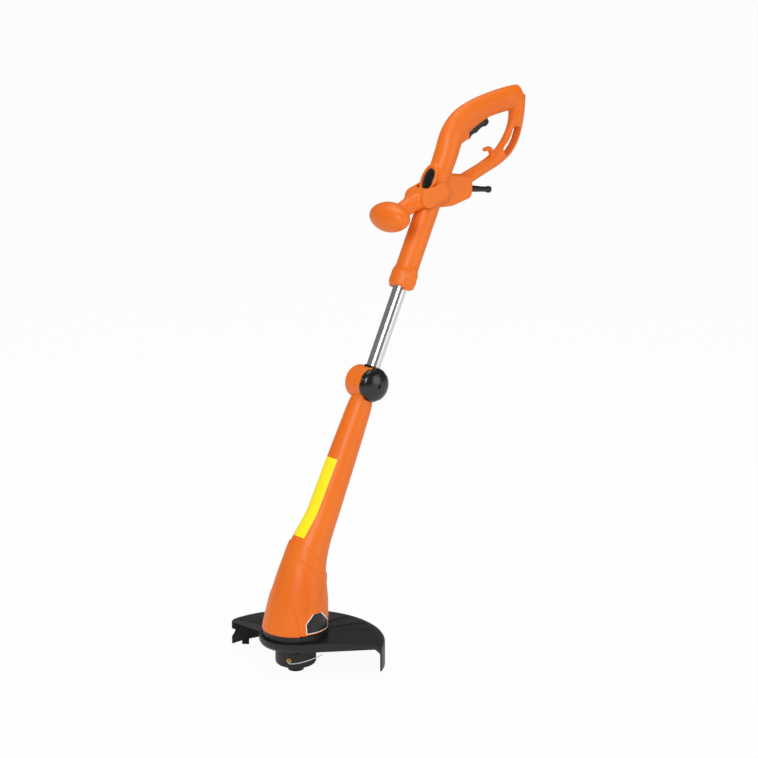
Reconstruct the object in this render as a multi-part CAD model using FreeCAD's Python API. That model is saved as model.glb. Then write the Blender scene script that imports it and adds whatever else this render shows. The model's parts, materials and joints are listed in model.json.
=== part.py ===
import FreeCAD, Part
import math
import os
from FreeCAD import Vector

# String trimmer, millimetres. +Z is up along the cutting head's axis, +X is the
# side towards the user (the shaft leans that way) and +Y is the user's right.
# The origin is the centre of the bump cap's underside, where the tool stands.

os.makedirs("parts", exist_ok=True)

# ---- overall layout ----
shaft_lean = 24.3         # shaft axis from vertical
shaft_foot_x = -4.4       # where the shaft's axis would pass beside the head's axis
shaft_foot_z = 130.0      # height of that point
knuckle_s = 399.0         # distance along the shaft from that point to the tilt pivot
collar_s = 578.0          # lower end of the handle's collar
neck_s = 828.0            # end of the straight stalk, where the grip bends away

# ---- clearances ----
running = 0.05            # pin or shaft in a hole it turns in
moving = 0.5              # between a moving piece and the walls round it
head_gap = 1.0            # between the spinning head and the guard

# ---- cutting head ----
cap_r = 14.5
cap_height = 12.0
head_r = 36.0
head_top = 50.0
cover_top = 20.0
cover_round = 8.0
head_wall = 3.0
spool_r = 31.0
spool_hub_r = 14.0
spool_bore_r = 9.6
coil_r = 26.0
bump_travel = 4.0
drum_hub_r = 9.0
spring_r = 8.0
spring_wire_r = 0.6
spring_turns = 6.0
eyelet_r = 4.5
eyelet_hole_r = 1.7
eyelet_z = 28.0
eyelet_angle = 214.8      # direction of the eyelet about +Z
line_r = 0.8

# ---- motor ----
shaft_r = 4.0
bearing_r = 11.0
bearing_width = 7.0
rotor_r = 24.0
can_r = 35.0
can_wall = 1.5
can_bottom = 87.0
can_height = 55.0

# ---- motor base and guard ----
hub_ring_r = 64.0
hub_ring_height = 16.0
hub_ring_cut = 6.0        # height of the taper round its lower edge
guard_wall = 3.0
guard_r = 157.0
guard_rim_top = 60.0
skirt_bottom = 11.0
right_wall_heading = -30.0    # the near front edge, tangent to the hub ring
left_wall_heading = 98.0      # the far front edge, almost radial
left_wall_offset = 9.0
rib_headings = (-23.0, -9.0, 11.0)
rib_height = 2.0
base_r = 57.0
base_height = 11.0
screw_circle_r = 48.0
skirt_notch = ((-1, 40), (9, 35), (-1, 24))    # in from the skirt's far end, height
cutter_width = 17.5
cutter_thick = 1.2
cutter_radius = 124.0
cutter_low = (19.0, 15.0)     # height of its inner and outer corner
cutter_screw_drop = 3.2

# ---- lower housing ----
shell_wall = 2.6
bell_bottom_r = 58.0
spigot_gap = 3.5          # between the base's spigot and the bell
bell_stations = (          # x, z, lean of the section, share of the bottom radius
    (6.2, 112.0, 4.0, 0.943),
    (9.9, 142.0, 6.0, 0.862),
    (13.5, 170.0, 11.0, 0.745),
    (21.0, 198.0, 17.0, 0.659),
    (35.5, 231.0, 22.0, 0.572))
neck_stations = (          # distance along the shaft, radius
    (150.0, 28.4),
    (165.0, 28.0),
    (276.0, 25.0),
    (342.0, 22.3),
    (387.0, 20.5))
boss_r = 29.5
boss_near = 14.0
boss_far = 27.0
lug_half = 9.0
lug_r = 26.2
tilt_range = 50.0
label_low = 107.0         # lower end of the label, along the shaft
label_length = 148.0
label_width = 30.0
pivot_r = 5.0
knob_r = 30.5
knob_height = 20.0
knob_flutes = 6
knob_flute_r = 8.0
knob_flute_depth = 3.0
knob_turn = 0.63          # first flute, in parts of the spacing from +X
nut_r = 9.0
nut_height = 8.0

# ---- tube ----
tube_r = 12.5
tube_wall = 1.2
tube_insert = 120.0       # length of tube held inside the handle

# ---- handle ----
stalk_r = 20.4
collar_r = 23.5
collar_length = 32.0
grip_height = 21.5        # half, in the handle's plane
grip_width = 17.0         # half, across
handle_wall = 2.6
rear_slot_half = 8.0      # half width of the slot in the rear member
grip_path = (             # x, z from the stalk's end, half height, half width
    (12.3, 30.4, 23.0, 19.5),
    (32.7, 51.3, 25.0, 18.0),
    (60.3, 66.0, 23.7, 17.2),
    (91.3, 77.4, grip_height, grip_width),
    (124.3, 84.4, grip_height, grip_width),
    (149.3, 88.4, grip_height, grip_width),
    (168.3, 93.4, 17.5, 14.0))
rear_path = (             # the same, down the rear member to the cable block
    (160.3, 91.4, 20.0, 16.0),
    (162.8, 65.4, 15.0, 15.0),
    (160.3, 43.4, 14.5, 12.5),
    (152.8, 21.4, 16.5, 8.5),
    (137.3, -1.1, 16.5, 8.5),
    (114.3, -18.6, 13.5, 10.0),
    (86.3, -32.1, 11.5, 11.5),
    (54.3, -45.1, 11.5, 13.0),
    (19.3, -59.6, 12.0, 15.0))
rear_slot = ((155.8, 29.4), (147.8, 11.9), (134.8, -3.1))    # x, z from the stalk's end
hook_foot = (110.3, -14.1)
hook_top = (99.3, 0.4)
hook_tip = (86.3, -1.6)
block_half = 15.0
block_rear = 50.3         # rear face, from the stalk's end
block_outline = ((-10.7, -34.6), (block_rear, -42.6), (block_rear, -72.6),
                 (block_rear - 4.0, -82.6), (4.3, -93.6), (-22.7, -93.6))

# ---- switch trigger ----
trigger_pivot = (87.8, 62.5)  # x, z from the stalk's end
trigger_heading = 218.8   # from the pivot along the underside of the grip
trigger_half = 7.0
trigger_length = 59.0
trigger_crest = (          # along the trigger, out towards the fingers
    (-3, 3), (3, 4), (4, 12), (7, 14.5), (12, 15), (16, 14.3), (19.5, 11.2), (24, 9.6), (30, 9), (36, 9.4),
    (40, 8), (44.5, 5.8), (50, 5.2), (54, 6.6), (58, 6), (59, 4))
trigger_back = ((59, -1), (30, -6), (-3, -4))
lip_outline = ((56, 2), (61, 2.5), (80, -2.5), (92, -7), (80, -26), (50, -16))
lip_half = 13.0
trigger_pin_r = 2.0
switch_length = 26.0
switch_height = 13.0
switch_fit = 0.2          # the case is this much wider, each side, than the grip's inside

# ---- lock button ----
button_below = 56.0       # its centre, below the stalk's end
button_long = 23.5        # half length
button_wide = 15.5        # half width
button_rise = 4.0
button_rim = 3.5

# ---- front handle ----
aux_below = 70.0          # its pivot, below the stalk's end
aux_reach = 104.0
aux_drop = 19.0           # slope below horizontal
aux_thick = 13.5          # half thickness of the stem
aux_wide = 14.0           # half width of the stem
cheek_thick = 4.6
cheek_r = 17.0
trunnion_r = 6.0
trunnion_length = 4.0
pommel_half_long = 47.0
pommel_r = 26.8
pommel_end_r = 18.0       # roundness of its ends
aux_down = 10.0
aux_up = 15.0

# ---- cord boot ----
boot_root = (45.3, -66.6)  # from the stalk's end
boot_drop = 7.0
boot_length = 57.0
boot_root_r = 6.4
boot_neck_r = 4.9
boot_bead_r = 6.1
cord_bore_r = 3.7
lead_bore_r = 4.5         # way for the cord from the boot into the handle

# ---- screws ----
screw_r = 1.75
screw_head_r = 3.5
screw_head = 2.4
screw_boss_r = 4.5
screw_seat = 8.0          # head's seat beyond the joint plane
screw_reach = 9.0         # thread's reach into the other half

AXIS_X = Vector(1, 0, 0)
AXIS_Y = Vector(0, 1, 0)
AXIS_Z = Vector(0, 0, 1)
ORIGIN = Vector(0, 0, 0)

lean = math.radians(shaft_lean)
shaft_dir = Vector(math.sin(lean), 0, math.cos(lean))
shaft_side = Vector(math.cos(lean), 0, -math.sin(lean))
shaft_foot = Vector(shaft_foot_x, 0, shaft_foot_z)

base_bottom = head_top + head_gap + hub_ring_height
bell_bottom = base_bottom + base_height
button_s = neck_s - button_below
aux_s = neck_s - aux_below


def shaft_point(u, s):
    """Point in the joint plane, u towards the rear and s along the shaft."""
    return shaft_foot + shaft_side * u + shaft_dir * s


def from_neck(*rows):
    """Rows of (x, z, ...) measured from the end of the stalk, put in place."""
    neck = shaft_point(0, neck_s)
    return [(neck.x + row[0], neck.z + row[1]) + tuple(row[2:]) for row in rows]


def points_from_neck(*rows):
    return [Vector(x, 0, z) for x, z in from_neck(*rows)]


def to_row(shape):
    """Move a shape drawn upright about the shaft axis to its leaning place."""
    placed = shape.copy()
    placed.rotate(ORIGIN, AXIS_Y, shaft_lean)
    placed.translate(shaft_foot)
    return placed


def disc(radius, bottom, top, inner=0.0):
    body = Part.makeCylinder(radius, top - bottom, Vector(0, 0, bottom))
    if inner > 0:
        body = body.cut(Part.makeCylinder(inner, top - bottom + 2, Vector(0, 0, bottom - 1)))
    return body


def across(radius, near, far, centre):
    """Cylinder along Y from near to far about a point of the joint plane."""
    return Part.makeCylinder(radius, far - near, Vector(centre.x, near, centre.z), AXIS_Y)


def prism(points, near, far):
    """Prism along Y over an outline given as (x, z) corners."""
    corners = [Vector(x, near, z) for x, z in points]
    face = Part.Face(Part.makePolygon(corners + corners[:1]))
    return face.extrude(Vector(0, far - near, 0))


def obround(start, end, radius, near, far):
    """Straight slot shape along Y, round at both ends."""
    along = end - start
    side = Vector(-along.z, 0, along.x).normalize() * radius
    corners = [start + side, end + side, end - side, start - side]
    body = prism([(p.x, p.z) for p in corners], near, far)
    return body.fuse([across(radius, near, far, start), across(radius, near, far, end)])


def heading(path, i):
    """Direction of a path of (x, z, ...) stations at station i."""
    before = path[max(i - 1, 0)]
    after = path[min(i + 1, len(path) - 1)]
    return Vector(after[0] - before[0], 0, after[1] - before[1]).normalize()


def section(centre, along, half_height, half_width):
    """Rounded rectangle across a path, half_height in the joint plane."""
    up = Vector(-along.z, 0, along.x)
    r = 0.9 * min(half_height, half_width)
    a = half_height - r
    b = half_width - r
    k = r * math.sqrt(0.5)

    def at(i, j):
        return centre + up * i + AXIS_Y * j

    edges = []
    for p, q in (((1, -1), (1, 1)), ((1, 1), (-1, 1)), ((-1, 1), (-1, -1)), ((-1, -1), (1, -1))):
        out = (p[0] + q[0]) / 2 * r, (p[1] + q[1]) / 2 * r
        start = at(p[0] * a + out[0], p[1] * b + out[1])
        end = at(q[0] * a + out[0], q[1] * b + out[1])
        edges.append(Part.LineSegment(start, end).toShape())
        corner = at(q[0] * (a + k), q[1] * (b + k))
        if out[0] == 0:
            finish = at(q[0] * (a + r), q[1] * b)
        else:
            finish = at(q[0] * a, q[1] * (b + r))
        edges.append(Part.Arc(end, corner, finish).toShape())
    return Part.Wire(edges)


def limb(path, shrink=0.0):
    """Solid through rounded sections along a path, optionally a wall smaller."""
    wires = []
    for i, (x, z, half_height, half_width) in enumerate(path):
        wires.append(section(Vector(x, 0, z), heading(path, i), half_height - shrink, half_width - shrink))
    return Part.makeLoft(wires, True, False)


def revolve_y(points, centre):
    """Turn an (radius, y) outline about the Y axis through centre."""
    corners = [Vector(centre.x + r, y, centre.z) for r, y in points]
    face = Part.Face(Part.makePolygon(corners + corners[:1]))
    return face.revolve(centre, AXIS_Y, 360)


def revolve_z(points):
    corners = [Vector(r, 0, z) for r, z in points]
    face = Part.Face(Part.makePolygon(corners + corners[:1]))
    return face.revolve(ORIGIN, AXIS_Z, 360)


def halves(shape):
    """Split at the joint plane into the near and the far half."""
    size = 2500.0
    near = Part.makeBox(size, size, size, Vector(-size / 2, -size, -size / 2))
    return shape.common(near), shape.cut(near)


def save(name, shape):
    shape = shape.removeSplitter() if len(shape.Solids) == 1 else shape
    shape.exportStep(os.path.join("parts", name + ".step"))
    box = shape.BoundBox
    print("%-18s solids %d volume %9.1f  x %.1f %.1f  y %.1f %.1f  z %.1f %.1f valid %s" % (
        name, len(shape.Solids), shape.Volume, box.XMin, box.XMax, box.YMin, box.YMax,
        box.ZMin, box.ZMax, shape.isValid()))


def screw(centre):
    """Screw along Y: the head sits past the joint plane, the thread points to -Y."""
    head = across(screw_head_r, screw_seat, screw_seat + screw_head, centre)
    slot = Part.makeBox(screw_head_r, screw_head / 2, 1.0,
                        Vector(centre.x - screw_head_r / 2, screw_seat + screw_head / 2, centre.z - 0.5))
    return head.cut(slot).fuse(across(screw_r, -screw_reach, screw_seat, centre))


def add_screw_seats(shell, outside, centres):
    """Bosses between the two halves, each bored and counterbored for its screw."""
    far = 80.0
    for centre in centres:
        shell = shell.fuse(across(screw_boss_r, -far, far, centre).common(outside))
    for centre in centres:
        shell = shell.cut(across(screw_r, -screw_reach - 1, screw_seat + 1, centre))
        shell = shell.cut(across(screw_head_r + moving / 2, screw_seat, far, centre))
    return shell


# ---- cutting head ----
cover_bottom = cap_height
cover_floor = cover_bottom + head_wall
eyelet_dir = Vector(math.cos(math.radians(eyelet_angle)), math.sin(math.radians(eyelet_angle)), 0)


def make_head_cover():
    """Lower bowl of the head, with the hole that the bump cap comes through."""
    bowl = disc(head_r, cover_bottom, cover_top)
    rim = [e for e in bowl.Edges if abs(e.BoundBox.ZMax - cover_bottom) < 1e-6]
    bowl = bowl.makeFillet(min(cover_round, cover_top - cover_bottom - 0.5), rim)
    bowl = bowl.cut(disc(spool_r + 1.0, cover_floor, cover_top + 1))
    return bowl.cut(disc(cap_r + moving, cover_bottom - 1, cover_floor + 1))


def make_head_drum():
    """Upper part of the head with the drive hub, carrying the line's eyelet."""
    drum = disc(head_r, cover_top, head_top)
    drum = drum.cut(disc(head_r - head_wall, cover_top - 1, head_top - head_wall - 1))
    drum = drum.fuse(disc(drum_hub_r, head_top - head_wall, base_bottom - 4.0))
    drum = drum.cut(disc(shaft_r, head_top - 20, base_bottom))
    grip_count = 8
    for i in range(grip_count):
        angle = math.radians(360.0 / grip_count * (i + 0.5)) + math.radians(eyelet_angle)
        notch = Vector((head_r + 2.5) * math.cos(angle), (head_r + 2.5) * math.sin(angle), head_top - 9)
        drum = drum.cut(Part.makeCylinder(4.0, 10, notch))
    eye = Part.makeCylinder(eyelet_r, 20, eyelet_dir * (head_r - 12) + Vector(0, 0, eyelet_z), eyelet_dir)
    return drum.cut(eye)


def make_eyelet():
    """Brass bush through the drum's wall, with a rounded outer lip."""
    start = eyelet_dir * (head_r - head_wall - 0.5) + Vector(0, 0, eyelet_z)
    length = head_wall + 1.8
    body = Part.makeCylinder(eyelet_r, length, start, eyelet_dir)
    lip = [e for e in body.Edges if abs(e.Length - 2 * math.pi * eyelet_r) < 1e-3]
    body = body.makeFillet(0.8, lip)
    return body.cut(Part.makeCylinder(eyelet_hole_r, length + 2, start - eyelet_dir, eyelet_dir))


def make_spool():
    low = cover_floor + 0.3
    top = head_top - head_wall - 1 - bump_travel - 2.0
    spool = disc(spool_hub_r, low, top).fuse([disc(spool_r, low, low + 2), disc(spool_r, top - 2, top)])
    return spool.cut(disc(spool_bore_r, low + 4.7, top + 1)), low, top


def make_bump_cap(spool_low):
    cap = disc(cap_r, 0, spool_low)
    edge = [e for e in cap.Edges if abs(e.BoundBox.ZMax) < 1e-6]
    return cap.makeFillet(3.0, edge)


def make_feed_spring(bottom, top):
    """Coil spring of eight-sided wire between the spool's floor and the drum's ceiling."""
    low = bottom + spring_wire_r
    height = top - bottom - 2 * spring_wire_r
    helix = Part.makeHelix(height / spring_turns, height, spring_r)
    helix.translate(Vector(0, 0, low))
    corners = []
    for i in range(8):
        angle = math.pi / 4 * i
        corners.append(Vector(spring_r + spring_wire_r * math.cos(angle), 0, low + spring_wire_r * math.sin(angle)))
    profile = Part.makePolygon(corners + corners[:1])
    return Part.Wire(helix.Edges).makePipeShell([profile], True, True)


def tube_along(points, radius):
    """Round cord along straight runs joined by tangent arcs."""
    edges = []
    last = points[0]
    for before, corner, after in zip(points, points[1:], points[2:]):
        into = (corner - before).normalize()
        out = (after - corner).normalize()
        reach = 0.45 * min((corner - before).Length, (after - corner).Length)
        turn = into.getAngle(out)
        print("line bend radius %.1f" % (reach / math.tan(turn / 2)))
        start = corner - into * reach
        end = corner + out * reach
        bend = (out - into).normalize()
        centre = corner + bend * (reach / math.sin(turn / 2))
        middle = centre - bend * (reach / math.tan(turn / 2))
        edges.append(Part.LineSegment(last, start).toShape())
        edges.append(Part.Arc(start, middle, end).toShape())
        last = end
    edges.append(Part.LineSegment(last, points[-1]).toShape())
    path = Part.Wire(edges)
    profile = Part.Wire(Part.Circle(points[0], points[1] - points[0], radius).toShape())
    body = path.makePipeShell([profile], True, False)
    print("line volume over section times length %.4f" % (body.Volume / (math.pi * radius ** 2 * path.Length)))
    return body


spool, spool_low, spool_top = make_spool()
spring_floor = spool_low + 4.7
drum_ceiling = head_top - head_wall - 1

save("head_cover", make_head_cover())
save("head_drum", make_head_drum())
save("line_eyelet", make_eyelet())
save("line_spool", spool)
save("line_coil", disc(coil_r, spool_low + 2.2, spool_top - 2.2, spool_hub_r))
save("bump_cap", make_bump_cap(spool_low))
save("feed_spring", make_feed_spring(spring_floor, drum_ceiling))
line_start = eyelet_dir * (head_r - head_wall) + Vector(0, 0, eyelet_z)
save("trimmer_line", tube_along([line_start, eyelet_dir * (head_r + 10.5) + Vector(0, 0, eyelet_z),
                                 Vector(-39, -38, 28.6), Vector(-27, -50, 31.5), Vector(-10, -62, 37.5),
                                 Vector(6.6, -71, 45.5)], line_r))

# ---- motor ----
can_top = can_bottom + can_height
bearing_low = bell_bottom - bearing_width


def make_motor_can():
    can = disc(can_r, can_bottom, can_top)
    can = can.cut(disc(can_r - can_wall, can_bottom - 1, can_top - can_wall))
    can = can.fuse(disc(bearing_r + can_wall, can_top - can_wall, can_top + bearing_width))
    can = can.cut(disc(bearing_r, can_top - can_wall, can_top + bearing_width + 1))
    return can.cut(disc(bearing_r - 2, can_top - can_wall - 2, can_top + 1))


def make_base():
    """Black base that closes the bell, seats the lower bearing and takes the guard."""
    spigot_r = bell_bottom_r - shell_wall - spigot_gap
    base = disc(base_r, base_bottom, bell_bottom)
    base = base.fuse(disc(spigot_r, bell_bottom, can_bottom))
    base = base.cut(disc(spigot_r - 4, bell_bottom, can_bottom + 1, can_r + 2))
    base = base.cut(disc(bearing_r, bearing_low, can_bottom + 1))
    base = base.cut(disc(shaft_r + 3, base_bottom - 1, bearing_low + 1))
    for x, y in screw_places():
        base = base.cut(Part.makeCylinder(screw_r, 10, Vector(x, y, base_bottom - 1)))
    return base


def screw_places():
    spots = []
    for angle in (30, 150, 270):
        spots.append((screw_circle_r * math.cos(math.radians(angle)),
                      screw_circle_r * math.sin(math.radians(angle))))
    return spots


save("motor_can", make_motor_can())
save("motor_base", make_base())
save("motor_armature", disc(rotor_r, can_bottom + 8, can_top - 9, shaft_r))
save("motor_shaft", disc(shaft_r, head_top - head_wall - 3, can_top + bearing_width))
lower_bearing = disc(bearing_r, bearing_low, bell_bottom, shaft_r + running)
upper_bearing = disc(bearing_r, can_top, can_top + bearing_width, shaft_r + running)
save("motor_bearings", Part.makeCompound([lower_bearing, upper_bearing]))

# ---- guard ----
hub_bottom = head_top + head_gap


def guard_top(lift):
    """Outline (radius, z) of the guard's dished top, raised by lift."""
    top = base_bottom
    drop = top - guard_rim_top
    outline = [(hub_ring_r - 6, top), (hub_ring_r + 2, top - 0.04 * drop),
               (0.45 * guard_r + 30, top - 0.2 * drop), (0.8 * guard_r, top - 0.55 * drop),
               (guard_r - 14, top - 0.78 * drop), (guard_r - 6.5, top - 1.1 * drop),
               (guard_r - 1.8, top - 1.55 * drop), (guard_r, top - 2.1 * drop)]
    return [(r, z + lift) for r, z in outline]


def guard_band(lift, depth, reach):
    """Ring that follows the guard's top, raised by lift and depth deep."""
    outline = [(r, z) for r, z in guard_top(lift) if r <= reach]
    return revolve_z(outline + [(r, z - depth) for r, z in reversed(outline)])


def under_guard(lift, floor, reach):
    """Everything from the guard's top, raised by lift, down to a level floor."""
    outline = [(r, z) for r, z in guard_top(lift) if r <= reach]
    return revolve_z(outline + [(outline[-1][0], floor), (outline[0][0], floor)])


def heading_vector(angle):
    return Vector(math.cos(math.radians(angle)), math.sin(math.radians(angle)), 0)


right_dir = heading_vector(right_wall_heading)
right_side = Vector(-right_dir.y, right_dir.x, 0)
right_start = right_side * -hub_ring_r
left_dir = heading_vector(left_wall_heading)
left_side = Vector(-left_dir.y, left_dir.x, 0)
left_start = left_side * left_wall_offset


def slab(start, direction, side, length, thick, bottom, top):
    """Upright slab along direction from start, thick towards side."""
    corners = [start, start + direction * length, start + direction * length + side * thick, start + side * thick]
    corners = [Vector(p.x, p.y, bottom) for p in corners]
    return Part.Face(Part.makePolygon(corners + corners[:1])).extrude(Vector(0, 0, top - bottom))


def make_guard():
    """Hub ring, dished sector plate, skirt, two front walls and three ribs."""
    reach = guard_r + 60
    corners = [right_start, right_start + right_dir * reach, Vector(reach, -reach * 0.4, 0),
               Vector(reach, reach, 0), left_start + left_dir * reach, left_start]
    corners = [Vector(p.x, p.y, 0) for p in corners]
    sector = Part.Face(Part.makePolygon(corners + corners[:1])).extrude(Vector(0, 0, 120))
    plate = guard_band(0, guard_wall, guard_r)
    skirt = disc(guard_r, skirt_bottom, base_bottom - 2 * (base_bottom - guard_rim_top), guard_r - guard_wall)
    body = plate.fuse(skirt).common(sector)
    walls = under_guard(-0.5, hub_bottom, guard_r - 0.6)
    right_wall = walls.common(slab(right_start, right_dir, right_side, reach, guard_wall, 0, 120))
    left_wall = walls.common(slab(left_start, left_dir, left_side * -1, reach, guard_wall, 0, 120))
    inner_r = hub_ring_r - guard_wall
    hub = revolve_z([(inner_r, base_bottom), (hub_ring_r, base_bottom), (hub_ring_r, hub_bottom + hub_ring_cut),
                     (hub_ring_r - 0.7 * hub_ring_cut, hub_bottom), (inner_r - 0.7 * hub_ring_cut, hub_bottom),
                     (inner_r, hub_bottom + hub_ring_cut)])
    deck = disc(hub_ring_r, base_bottom - guard_wall - 1, base_bottom, drum_hub_r + 3)
    inside = disc(hub_ring_r - guard_wall, 0, base_bottom - guard_wall - 1)
    body = body.fuse([right_wall, left_wall]).cut(inside)
    body = body.fuse([hub, deck])
    for angle in rib_headings:
        along = heading_vector(angle)
        side = Vector(-along.y, along.x, 0)
        points = [along * (hub_ring_r - 4) + side * 4, along * (guard_r - 18) + side * 0.8,
                  along * (guard_r - 18) - side * 0.8, along * (hub_ring_r - 4) - side * 4]
        wedge = Part.Face(Part.makePolygon(points + points[:1])).extrude(Vector(0, 0, 120))
        body = body.fuse(guard_band(rib_height, rib_height + 1.0, guard_r - 10).common(wedge))
    for x, y in screw_places():
        body = body.cut(Part.makeCylinder(screw_r, 20, Vector(x, y, base_bottom - 10)))
    return body.cut([skirt_cut(), cutter_screw(running)])


def skirt_cut():
    """Notch in the far end of the skirt, above its foot."""
    end = left_start + left_dir * (guard_r - guard_wall)
    corners = [end - left_side * across_end - left_dir * 10 + AXIS_Z * z for across_end, z in skirt_notch]
    return Part.Face(Part.makePolygon(corners + corners[:1])).extrude(left_dir * 20)


def guard_screw(x, y):
    seat = base_bottom - guard_wall - 1
    head = Part.makeCylinder(screw_head_r, screw_head, Vector(x, y, seat - screw_head))
    return head.fuse(Part.makeCylinder(screw_r, 12, Vector(x, y, seat)))


cutter_centre = left_start + left_dir * cutter_radius
cutter_top = guard_rim_top - 1.5


def make_cutter():
    """Steel blade hung behind the far front wall, trimming the line to length."""
    start = cutter_centre - left_dir * (cutter_width / 2) - left_side * guard_wall
    end = start + left_dir * cutter_width
    corners = [start + AXIS_Z * cutter_low[0], end + AXIS_Z * cutter_low[1], end + AXIS_Z * cutter_top,
               start + AXIS_Z * cutter_top]
    blade = Part.Face(Part.makePolygon(corners + corners[:1])).extrude(left_side * -cutter_thick)
    return blade.cut(cutter_screw(running))


def cutter_screw(clearance=0.0):
    height = Vector(0, 0, cutter_top - cutter_screw_drop)
    start = cutter_centre + height - left_side * (guard_wall + cutter_thick)
    head = Part.makeCylinder(3.0 + clearance, 2.0, start - left_side * 2, left_side)
    return head.fuse(Part.makeCylinder(screw_r + clearance, cutter_thick + guard_wall - 0.5, start, left_side))


save("guard", make_guard())
save("guard_screws", Part.makeCompound([guard_screw(x, y) for x, y in screw_places()]))
save("line_cutter", make_cutter())
save("cutter_screw", cutter_screw())

# ---- lower housing ----
knuckle = shaft_point(0, knuckle_s)
neck_low_s = neck_stations[0][0]
neck_top_s, neck_top_r = neck_stations[-1]


def bell(offset):
    """Bell in round sections from its rim to the neck, then a straight tapered neck."""
    sections = [Part.Wire(Part.Circle(Vector(0, 0, bell_bottom), AXIS_Z, bell_bottom_r + offset).toShape())]
    for x, z, tilt, share in bell_stations:
        normal = Vector(math.sin(math.radians(tilt)), 0, math.cos(math.radians(tilt)))
        circle = Part.Circle(Vector(x, 0, z), normal, bell_bottom_r * share + offset)
        sections.append(Part.Wire(circle.toShape()))
    for s, r in neck_stations[:2]:
        sections.append(Part.Wire(Part.Circle(shaft_point(0, s), shaft_dir, r + offset).toShape()))
    cones = []
    for (low, low_r), (high, high_r) in zip(neck_stations[1:], neck_stations[2:]):
        cones.append(to_row(Part.makeCone(low_r + offset, high_r + offset, high - low, Vector(0, 0, low))))
    return Part.makeLoft(sections, True, False).fuse(cones)


def lug_sweep(half_width, reach):
    """Outline covered by the lug's neck over the whole tilt."""
    end = math.radians(shaft_lean + tilt_range)
    end_dir = Vector(math.sin(end), 0, math.cos(end))
    end_side = Vector(math.cos(end), 0, -math.sin(end))
    middle = math.radians(shaft_lean + tilt_range / 2)
    middle_dir = Vector(math.sin(middle), 0, math.cos(middle))
    spots = [knuckle - shaft_side * half_width, knuckle - shaft_side * half_width + shaft_dir * reach,
             knuckle + middle_dir * reach * 1.4, knuckle + end_side * half_width + end_dir * reach,
             knuckle + end_side * half_width]
    return [(p.x, p.z) for p in spots]


def make_housing():
    """Hollow bell and neck with the two-eared tilt boss, still in one piece."""
    outside = bell(0)
    boss = across(boss_r, -boss_near, boss_far, knuckle)
    plug_low = neck_top_s - 28
    inside = bell(-shell_wall).cut(to_row(disc(60, plug_low, neck_top_s + 1)))
    shell = outside.cut(inside).fuse(boss)
    shell = add_screw_seats(shell, outside, housing_screw_spots)
    slot_half = lug_half + moving * 0.6
    shell = shell.cut(across(lug_r + moving, -slot_half, slot_half, knuckle))
    shell = shell.cut(prism(lug_sweep(tube_r + moving, 60), -slot_half, slot_half))
    shell = shell.cut(across(knob_r + 1, -60, -boss_near, knuckle))
    shell = shell.cut(across(pivot_r + running, -60, 60, knuckle))
    nut_room = Part.makeBox(2 * nut_r, nut_height, 2 * nut_r,
                            Vector(knuckle.x - nut_r, boss_far - nut_height, knuckle.z - nut_r))
    return shell.cut(nut_room), outside


housing_screw_spots = (Vector(-20, 0, 152), Vector(44, 0, 118), shaft_point(0, neck_low_s + 45),
                       shaft_point(0, knuckle_s - 62))
housing, housing_outside = make_housing()
housing_left, housing_right = halves(housing)
save("housing_left", housing_left)
save("housing_right", housing_right)
save("housing_screws", Part.makeCompound([screw(p) for p in housing_screw_spots]))

badge_outline = ((-15.0, bell_bottom + 5.5), (36.5, bell_bottom + 5.5), (36.5, bell_bottom + 17),
                 (32.5, bell_bottom + 22), (-6.3, bell_bottom + 28.5), (-15.0, bell_bottom + 25))
decal_lift = 0.15         # film of glue under a label
decal_thick = 0.6


def decal(outline_prism):
    """Thin blank plate that follows the housing's outside."""
    return bell(decal_thick).cut(bell(decal_lift)).common(outline_prism)


save("badge_plate", decal(prism(badge_outline, -90, -20)))
label_box = Part.makeBox(30, label_width, label_length, Vector(-40, -label_width / 2, label_low))
save("label_strip", decal(to_row(label_box)))

# ---- tilt knuckle ----
tube_low_s = knuckle_s + boss_r + 1.5
tube_top_s = collar_s + tube_insert


def make_lug():
    """Disc between the boss's ears, with a neck and a plug up into the tube."""
    body = across(lug_r, -lug_half, lug_half, knuckle)
    neck = Part.makeBox(2 * tube_r, 2 * lug_half, tube_low_s - knuckle_s, Vector(-tube_r, -lug_half, knuckle_s))
    plug = Part.makeCylinder(tube_r - tube_wall, 45, Vector(0, 0, tube_low_s - 4))
    top = Part.makeCylinder(tube_r, 3, Vector(0, 0, tube_low_s - 3))
    box = Part.makeBox(60, 2 * lug_half, 80, Vector(-30, -lug_half, knuckle_s))
    lower = plug.fuse(top).common(box).fuse(plug.cut(disc(30, 0, tube_low_s)))
    body = body.fuse(to_row(neck.fuse(lower)))
    return body.cut(across(pivot_r + running, -60, 60, knuckle))


def make_knob():
    """Fluted dome that clamps the tilt, with a bolt recess in its crown."""
    near = -boss_near - moving
    top = near - knob_height
    outline = [(0, near), (knob_r - 1, near), (knob_r, near - 1), (knob_r, near - 0.2 * knob_height)]
    for step in range(1, 8):
        angle = math.pi / 2 * step / 8
        outline.append((knob_r * math.cos(angle), near - knob_height * (0.2 + 0.8 * math.sin(angle))))
    outline.append((0, top))
    body = revolve_y(outline, knuckle)
    for i in range(knob_flutes):
        angle = 2 * math.pi * (i + knob_turn) / knob_flutes
        reach = knob_r + knob_flute_r - knob_flute_depth
        spot = knuckle + Vector(math.cos(angle), 0, math.sin(angle)) * reach
        body = body.cut(across(knob_flute_r, -80, near + 1, spot))
    body = body.cut(across(pivot_r, near - 6, near + 1, knuckle))
    return body.cut(across(3.6, top - 1, top + 4, knuckle))


def make_nut():
    corners = []
    for i in range(6):
        angle = math.pi / 3 * i
        corners.append((knuckle.x + (nut_r - 0.2) * math.cos(angle), knuckle.z + (nut_r - 0.2) * math.sin(angle)))
    body = prism(corners, boss_far - nut_height, boss_far - 0.5)
    return body.cut(across(pivot_r + running, 0, 60, knuckle))


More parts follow.
